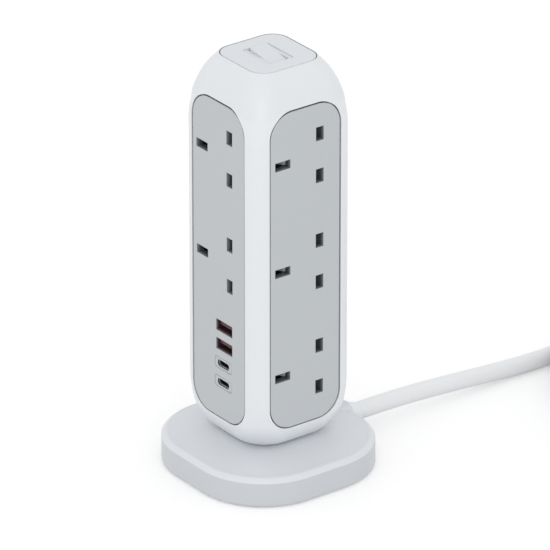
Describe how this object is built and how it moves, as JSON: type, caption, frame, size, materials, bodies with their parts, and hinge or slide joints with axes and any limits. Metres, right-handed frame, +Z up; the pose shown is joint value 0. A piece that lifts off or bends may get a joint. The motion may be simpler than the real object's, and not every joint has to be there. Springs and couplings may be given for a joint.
{
  "type": "charging tower",
  "caption": "Square mains charging tower with three-pin sockets on four sides, USB ports on one, a rocker switch on its domed top, a low rounded base, and a cord with a plug.",
  "frame": {"origin": "on the floor under the middle of the base, at the bottom of the feet", "axes": "+Z up; -Y is the side with the USB ports; the cord leaves towards +Y"},
  "size_m": [0.1662, 0.3156, 0.2207],
  "materials": {
    "body_white": "satin white moulding",
    "cord_white": "soft white sheath",
    "panel_grey": "satin light grey moulding",
    "cap_grey": "satin pale grey moulding",
    "shutter_white": "satin pale moulding",
    "inner_grey": "plain moulding",
    "carrier_dark": "plain dark moulding",
    "rubber_dark": "dull",
    "steel": "bright",
    "brass_contact": "bright",
    "wire_brown": "soft insulation",
    "wire_blue": "soft insulation",
    "wire_green": "soft insulation",
    "board_green": "coated board",
    "parts_dark": "dull",
    "tongue_maroon": "dull",
    "tongue_black": "dull",
    "fuse_tan": "ceramic"
  },
  "bodies": {
    "tower": {"base_shell": "body_white", "tower_housing": "body_white", "plug_body": "body_white", "plug_cover": "body_white", "cord_gland": "cord_white", "cord_inner_end": "cord_white", "cord_run": "cord_white", "cord_coil": "cord_white", "front_faceplate": "panel_grey", "right_faceplate": "panel_grey", "back_faceplate": "panel_grey", "left_faceplate": "panel_grey", "usb_c_trims": "panel_grey", "top_cap": "cap_grey", "switch_case": "cap_grey", "base_plate": "inner_grey", "cord_clamp": "inner_grey", "tower_floor": "inner_grey", "front_carrier": "carrier_dark", "right_carrier": "carrier_dark", "back_carrier": "carrier_dark", "left_carrier": "carrier_dark", "rubber_feet": "rubber_dark", "base_screws": "steel", "tower_screws": "steel", "clamp_screws": "steel", "carrier_screws": "steel", "board_screws": "steel", "usb_a_shells": "steel", "usb_c_shells": "steel", "front_springs": "steel", "right_springs": "steel", "back_springs": "steel", "left_springs": "steel", "switch_terminals": "brass_contact", "live_busbars": "brass_contact", "neutral_busbars": "brass_contact", "earth_busbars": "brass_contact", "plug_pins": "brass_contact", "live_wire": "wire_brown", "neutral_wire": "wire_blue", "earth_wire": "wire_green", "usb_board": "board_green", "usb_power_parts": "parts_dark", "usb_a_tongues": "tongue_maroon", "usb_c_tongues": "tongue_black", "plug_fuse": "fuse_tan"},
    "rocker": {"switch_rocker": "cap_grey", "switch_contact": "brass_contact"},
    "front_shutter_lower": {"front_shutter_lower": "shutter_white"},
    "front_shutter_upper": {"front_shutter_upper": "shutter_white"},
    "right_shutter_lower": {"right_shutter_lower": "shutter_white"},
    "right_shutter_middle": {"right_shutter_middle": "shutter_white"},
    "right_shutter_upper": {"right_shutter_upper": "shutter_white"},
    "back_shutter_lower": {"back_shutter_lower": "shutter_white"},
    "back_shutter_middle": {"back_shutter_middle": "shutter_white"},
    "back_shutter_upper": {"back_shutter_upper": "shutter_white"},
    "left_shutter_lower": {"left_shutter_lower": "shutter_white"},
    "left_shutter_middle": {"left_shutter_middle": "shutter_white"},
    "left_shutter_upper": {"left_shutter_upper": "shutter_white"}
  },
  "joints": [
    {"name": "rocker_tilt", "type": "hinge", "parent": "tower", "child": "rocker", "pos_m": [0, 0, 0.2145], "axis": [0, -1, 0], "range_deg": [0, 20]},
    {"name": "front_shutter_lower_slide", "type": "slide", "parent": "tower", "child": "front_shutter_lower", "axis": [1, 0, 0], "range_m": [0, 0.0058], "stiffness_N_per_m": 60, "springref_m": -0.002, "deforming": ["front_springs"]},
    {"name": "front_shutter_upper_slide", "type": "slide", "parent": "tower", "child": "front_shutter_upper", "axis": [1, 0, 0], "range_m": [0, 0.0058], "stiffness_N_per_m": 60, "springref_m": -0.002, "deforming": ["front_springs"]},
    {"name": "right_shutter_lower_slide", "type": "slide", "parent": "tower", "child": "right_shutter_lower", "axis": [0, 1, 0], "range_m": [0, 0.0058], "stiffness_N_per_m": 60, "springref_m": -0.002, "deforming": ["right_springs"]},
    {"name": "right_shutter_middle_slide", "type": "slide", "parent": "tower", "child": "right_shutter_middle", "axis": [0, 1, 0], "range_m": [0, 0.0058], "stiffness_N_per_m": 60, "springref_m": -0.002, "deforming": ["right_springs"]},
    {"name": "right_shutter_upper_slide", "type": "slide", "parent": "tower", "child": "right_shutter_upper", "axis": [0, 1, 0], "range_m": [0, 0.0058], "stiffness_N_per_m": 60, "springref_m": -0.002, "deforming": ["right_springs"]},
    {"name": "back_shutter_lower_slide", "type": "slide", "parent": "tower", "child": "back_shutter_lower", "axis": [-1, 0, 0], "range_m": [0, 0.0058], "stiffness_N_per_m": 60, "springref_m": -0.002, "deforming": ["back_springs"]},
    {"name": "back_shutter_middle_slide", "type": "slide", "parent": "tower", "child": "back_shutter_middle", "axis": [-1, 0, 0], "range_m": [0, 0.0058], "stiffness_N_per_m": 60, "springref_m": -0.002, "deforming": ["back_springs"]},
    {"name": "back_shutter_upper_slide", "type": "slide", "parent": "tower", "child": "back_shutter_upper", "axis": [-1, 0, 0], "range_m": [0, 0.0058], "stiffness_N_per_m": 60, "springref_m": -0.002, "deforming": ["back_springs"]},
    {"name": "left_shutter_lower_slide", "type": "slide", "parent": "tower", "child": "left_shutter_lower", "axis": [0, -1, 0], "range_m": [0, 0.0058], "stiffness_N_per_m": 60, "springref_m": -0.002, "deforming": ["left_springs"]},
    {"name": "left_shutter_middle_slide", "type": "slide", "parent": "tower", "child": "left_shutter_middle", "axis": [0, -1, 0], "range_m": [0, 0.0058], "stiffness_N_per_m": 60, "springref_m": -0.002, "deforming": ["left_springs"]},
    {"name": "left_shutter_upper_slide", "type": "slide", "parent": "tower", "child": "left_shutter_upper", "axis": [0, -1, 0], "range_m": [0, 0.0058], "stiffness_N_per_m": 60, "springref_m": -0.002, "deforming": ["left_springs"]}
  ]
}
